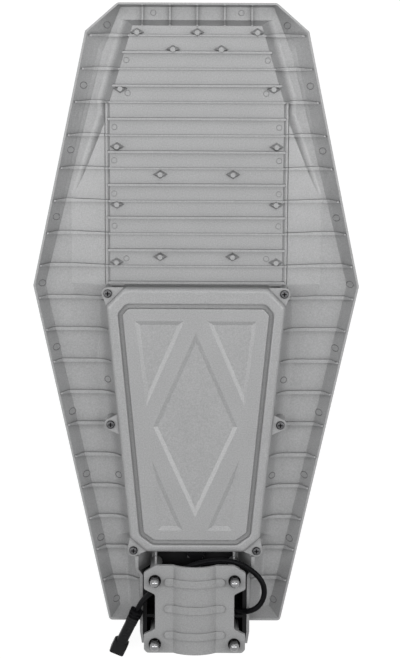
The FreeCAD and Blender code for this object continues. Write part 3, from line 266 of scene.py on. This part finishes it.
def remap(tree, value, low, high, from_low=noise_low, from_high=noise_high):
    """A value carried over from one range to another."""
    node = tree.nodes.new("ShaderNodeMapRange")
    node.inputs["From Min"].default_value = from_low
    node.inputs["From Max"].default_value = from_high
    node.inputs["To Min"].default_value = low
    node.inputs["To Max"].default_value = high
    tree.links.new(value, node.inputs["Value"])
    return node.outputs["Result"]


def tinted(tree, colour, factor):
    """The colour times a grey factor."""
    node = tree.nodes.new("ShaderNodeMix")
    node.data_type = "RGBA"
    node.blend_type = "MULTIPLY"
    node.inputs["Factor"].default_value = 1.0
    node.inputs["A"].default_value = (*colour, 1.0)
    tree.links.new(factor, node.inputs["B"])
    return node.outputs["Result"]


def soft_edges(tree, radius):
    """Normals that round every sharp edge by a radius."""
    node = tree.nodes.new("ShaderNodeBevel")
    node.samples = edge_samples
    node.inputs["Radius"].default_value = radius
    return node.outputs["Normal"]


def shade_in_hollows(tree, tone, least_open):
    """Painted shade: a factor that falls from one in the open to the tone in a hollow."""
    node = tree.nodes.new("ShaderNodeAmbientOcclusion")
    node.samples = hollow_samples
    node.inputs["Distance"].default_value = hollow_reach
    return remap(tree, node.outputs["AO"], tone, 1.0, least_open, 1.0)


def combined(tree, operation, first, second):
    """Two values joined by one step of arithmetic."""
    node = tree.nodes.new("ShaderNodeMath")
    node.operation = operation
    tree.links.new(first, node.inputs[0])
    tree.links.new(second, node.inputs[1])
    return node.outputs["Value"]


def bump(tree, height, distance, normal):
    """Normals tilted by a relief whose full height is the distance."""
    node = tree.nodes.new("ShaderNodeBump")
    node.inputs["Strength"].default_value = 1.0
    node.inputs["Distance"].default_value = distance
    tree.links.new(height, node.inputs["Height"])
    tree.links.new(normal, node.inputs["Normal"])
    return node.outputs["Normal"]


def moulded_plastic(
    name, colour, roughness, cells, depth, edge, speck=plain_speck, gloss=plain_gloss, tone=hollow_tone,
):
    """Moulded plastic: eroded grain, faint flow blotches, painted shade in hollows and rounded edges.
    """
    material, tree, main = shader(name, colour, roughness, gloss=gloss)
    place = object_coordinates(tree)
    grain = noise(tree, place, cells, grain_detail)
    patches = noise(tree, place, patch_cells, patch_detail)
    blotches = remap(tree, patches, *patch_tones)
    specks = remap(tree, grain, 1.0 - speck, 1.0 + speck)
    shade = combined(tree, "MULTIPLY", blotches, specks)
    # Painted shade: the colour is darkened in hollows.
    shade = combined(tree, "MULTIPLY", shade, shade_in_hollows(tree, tone, plastic_least_open))
    tree.links.new(tinted(tree, colour, shade), main.inputs["Base Color"])
    low, high = plastic_polish
    tree.links.new(remap(tree, grain, roughness + low, roughness + high), main.inputs["Roughness"])
    tree.links.new(bump(tree, grain, depth, soft_edges(tree, edge)), main.inputs["Normal"])
    return material


def plated_metal(name, colour, roughness, edge, tone):
    """Plated or polished metal with faint uneven polish and painted shade round its foot."""
    material, tree, main = shader(name, colour, roughness, metallic=1.0)
    wear = noise(tree, object_coordinates(tree), wear_cells, wear_detail)
    low, high = metal_polish
    polish = remap(tree, wear, max(roughness + low, least_roughness), roughness + high)
    tree.links.new(polish, main.inputs["Roughness"])
    # Painted shade: the colour is darkened round the foot and in hollows.
    painted_shade = shade_in_hollows(tree, tone, metal_least_open)
    shade = combined(tree, "MULTIPLY", remap(tree, wear, *wear_tones), painted_shade)
    tree.links.new(tinted(tree, colour, shade), main.inputs["Base Color"])
    tree.links.new(soft_edges(tree, edge), main.inputs["Normal"])
    return material


def soft_rubber(name, colour, roughness, edge):
    """Rubber with a fine grain and a thin film of dust."""
    material, tree, main = shader(name, colour, roughness, gloss=rubber_gloss)
    place = object_coordinates(tree)
    grain = noise(tree, place, rubber_grain_cells, rubber_grain_detail)
    dust = noise(tree, place, dust_cells, dust_detail)
    tree.links.new(tinted(tree, colour, remap(tree, dust, *dust_tones)), main.inputs["Base Color"])
    low, high = rubber_polish
    tree.links.new(remap(tree, dust, roughness + low, roughness + high), main.inputs["Roughness"])
    rounded = soft_edges(tree, edge)
    tree.links.new(bump(tree, grain, rubber_grain_depth, rounded), main.inputs["Normal"])
    return material


def clear_lens(name):
    """Clear moulded plastic with faint ripples."""
    material, tree, main = shader(name, lens_colour, lens_roughness)
    main.inputs["Transmission Weight"].default_value = 1.0
    main.inputs["IOR"].default_value = lens_index
    ripple = noise(tree, object_coordinates(tree), ripple_cells, ripple_detail)
    tree.links.new(remap(tree, ripple, *ripple_roughness), main.inputs["Roughness"])
    tree.links.new(soft_edges(tree, lens_edge), main.inputs["Normal"])
    return material


def circuit_board(name, colour):
    """Solder mask with the faint relief of the tracks under it."""
    material, tree, main = shader(name, colour, board_roughness)
    cells = tree.nodes.new("ShaderNodeTexVoronoi")
    cells.distance = "CHEBYCHEV"
    cells.inputs["Scale"].default_value = track_cells
    tree.links.new(object_coordinates(tree), cells.inputs["Vector"])
    tracks = remap(tree, cells.outputs["Distance"], *track_tones, *track_spread)
    tree.links.new(tinted(tree, colour, tracks), main.inputs["Base Color"])
    rounded = soft_edges(tree, board_edge)
    tree.links.new(bump(tree, tracks, track_depth, rounded), main.inputs["Normal"])
    return material


def make_materials():
    """Every finish by its name: one for each slot of the record, and the darker grey of the rings on
    slopes, which is painted shade.
    """
    made = {"lens_clear": clear_lens("lens_clear")}
    for name, values in plastics.items():
        made[name] = moulded_plastic(name, **values)
    for name, values in metals.items():
        made[name] = plated_metal(name, **values)
    for name, values in rubbers.items():
        made[name] = soft_rubber(name, **values)
    for name, colour in boards.items():
        made[name] = circuit_board(name, colour)
    return made


def dress_nodes():
    """Give each solid of the frame the finish that the record names."""
    for row in frame["record"]["subparts"]:
        node = nodes[row["node"]]
        node.data.materials.clear()
        node.data.materials.append(materials[row["material_slot"]])


def new_piece(name, shape, finish):
    """A visible piece on the one body, in a finish that may differ from its slot's."""
    piece = bpy.data.objects.new(name, shape)
    bpy.context.scene.collection.objects.link(piece)
    piece.data.materials.append(materials[finish])
    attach(piece, "root")
    return piece


def make_cable():
    """The cable as one smooth curve through its route."""
    curve = bpy.data.curves.new("cable", "CURVE")
    curve.dimensions = "3D"
    spline = curve.splines.new("NURBS")
    spline.points.add(len(cable_points) - 1)
    for point, (x, y, z) in zip(spline.points, cable_points):
        point.co = (x * mm, y * mm, z * mm, 1.0)
    spline.order_u = 3
    spline.use_endpoint_u = True
    spline.resolution_u = cable_steps
    curve.bevel_depth = cable_diameter / 2
    curve.bevel_resolution = cable_roundness
    curve.use_fill_caps = True
    cable = new_piece("cable", curve, "cable_jacket")
    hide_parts("solar_cable")


def housing_surface():
    """The housing's solid as a tree that rays can be cast at."""
    mesh = nodes["housing"].data
    corners = [vertex.co for vertex in mesh.vertices]
    faces = [tuple(polygon.vertices) for polygon in mesh.polygons]
    return BVHTree.FromPolygons(corners, faces)


def top_of(surface, x, y):
    """Point and upward normal where a plumb line meets the housing."""
    place, normal, _, _ = surface.ray_cast(Vector((x, y, plumb_height)), Vector((0, 0, -1)))
    return place, normal if normal.z > 0 else -normal


def add_mark(work, surface, middle, normal, outer):
    """A thin raised ring that follows the surface and is round from straight above."""
    rings = (
        (outer, -mark_sink), (outer - mark_width / 2, mark_rise), (outer - mark_width, -mark_sink),
    )
    loops = []
    for radius, height in rings:
        loop = []
        for index in range(mark_segments):
            angle = 2 * math.pi * index / mark_segments
            x = middle.x + radius * math.cos(angle)
            y = middle.y + radius * math.sin(angle)
            foot, _ = top_of(surface, x, y)
            loop.append(work.verts.new(foot + height * normal))
        loops.append(loop)
    for lower, upper in zip(loops, loops[1:] + loops[:1]):
        for index in range(mark_segments):
            after = (index + 1) % mark_segments
            work.faces.new((lower[index], lower[after], upper[after], upper[index]))


def finish_marks(name, work, finish):
    """Turn the marks that were worked on into a piece of the housing."""
    mesh = bpy.data.meshes.new(name)
    work.to_mesh(mesh)
    work.free()
    new_piece(name, mesh, finish)


def make_ejector_marks():
    """Ring marks on the level faces, and on the slopes darker ones, whose darker grey is painted shade.
    """
    surface = housing_surface()
    level = bmesh.new()
    sloping = bmesh.new()
    for x, y in ejector_places:
        for side in (-1, 1):
            place, normal = top_of(surface, side * x * mm, y * mm)
            if normal.z > level_enough:
                add_mark(level, surface, place, normal, level_mark_radius)
            else:
                add_mark(sloping, surface, place, normal, slope_mark_radius)
    finish_marks("level_marks", level, "housing_grey")
    # The rings on slopes are darker grey: painted shade.
    finish_marks("slope_marks", sloping, "painted_shade_grey")


def seen_glow(tree, glow, dim):
    """Strength that is seen, straight or in metal and glass, and the dim one that lights the part."""
    paths = tree.nodes.new("ShaderNodeLightPath").outputs
    mirrored = combined(tree, "MAXIMUM", paths["Is Glossy Ray"], paths["Is Transmission Ray"])
    seen = combined(tree, "MAXIMUM", paths["Is Camera Ray"], mirrored)
    return remap(tree, seen, dim, glow, 0.0, 1.0)


def backdrop_material():
    """Paper that is white by its own glow. Lamps shine through it, and from below it is clear."""
    material, tree, main = shader("backdrop", paper_colour, paper_roughness)
    main.inputs["Emission Color"].default_value = (1.0, 1.0, 1.0, 1.0)
    tree.links.new(seen_glow(tree, paper_glow, 0.0), main.inputs["Emission Strength"])
    paths = tree.nodes.new("ShaderNodeLightPath").outputs
    geometry = tree.nodes.new("ShaderNodeNewGeometry").outputs
    passing = combined(tree, "MAXIMUM", paths["Is Shadow Ray"], geometry["Backfacing"])
    clear = tree.nodes.new("ShaderNodeBsdfTransparent")
    mixed = tree.nodes.new("ShaderNodeMixShader")
    tree.links.new(passing, mixed.inputs["Fac"])
    tree.links.new(main.outputs["BSDF"], mixed.inputs[1])
    tree.links.new(clear.outputs["BSDF"], mixed.inputs[2])
    tree.links.new(mixed.outputs["Shader"], tree.nodes["Material Output"].inputs["Surface"])
    return material


def make_floor():
    """A sheet of paper just under the part."""
    low = cad_box[0].z - paper_gap
    half = paper_half
    corners = [(-half, -half, low), (half, -half, low), (half, half, low), (-half, half, low)]
    mesh = bpy.data.meshes.new("floor")
    mesh.from_pydata(corners, [], [(0, 1, 2, 3)])
    floor = bpy.data.objects.new("floor", mesh)
    bpy.context.scene.collection.objects.link(floor)
    floor.data.materials.append(backdrop_material())


def make_lamps():
    """Soft boxes and strips over, beside and under the part."""
    for name, place, aim, width, height, power in lamps:
        light = bpy.data.lights.new(name, "AREA")
        light.shape = "RECTANGLE"
        light.size = width
        light.size_y = height
        light.energy = power
        lamp = bpy.data.objects.new(name, light)
        bpy.context.scene.collection.objects.link(lamp)
        lamp.location = place
        lamp.rotation_euler = (Vector(aim) - Vector(place)).to_track_quat("-Z", "Y").to_euler()


def make_world():
    """A white surround that is seen bright and lights the part little."""
    world = bpy.data.worlds.new("studio")
    bpy.context.scene.world = world
    world.use_nodes = True
    tree = world.node_tree
    background = tree.nodes["Background"]
    background.inputs["Color"].default_value = (1.0, 1.0, 1.0, 1.0)
    tree.links.new(seen_glow(tree, world_glow, world_strength), background.inputs["Strength"])


def make_camera():
    """The photograph's point of view."""
    data = bpy.data.cameras.new("camera")
    data.lens = lens_length
    data.sensor_width = sensor_size
    data.clip_start = clip_near
    data.clip_end = clip_far
    camera = bpy.data.objects.new("camera", data)
    bpy.context.scene.collection.objects.link(camera)
    turn = Matrix.Rotation(-camera_pitch, 4, "X") @ Matrix.Rotation(camera_roll, 4, "Z")
    camera.matrix_world = Matrix.Translation(camera_place) @ turn
    bpy.context.scene.camera = camera


materials = make_materials()
dress_nodes()
make_cable()
make_ejector_marks()
make_floor()
make_lamps()
make_world()
make_camera()
bpy.context.scene.view_settings.view_transform = "Standard"
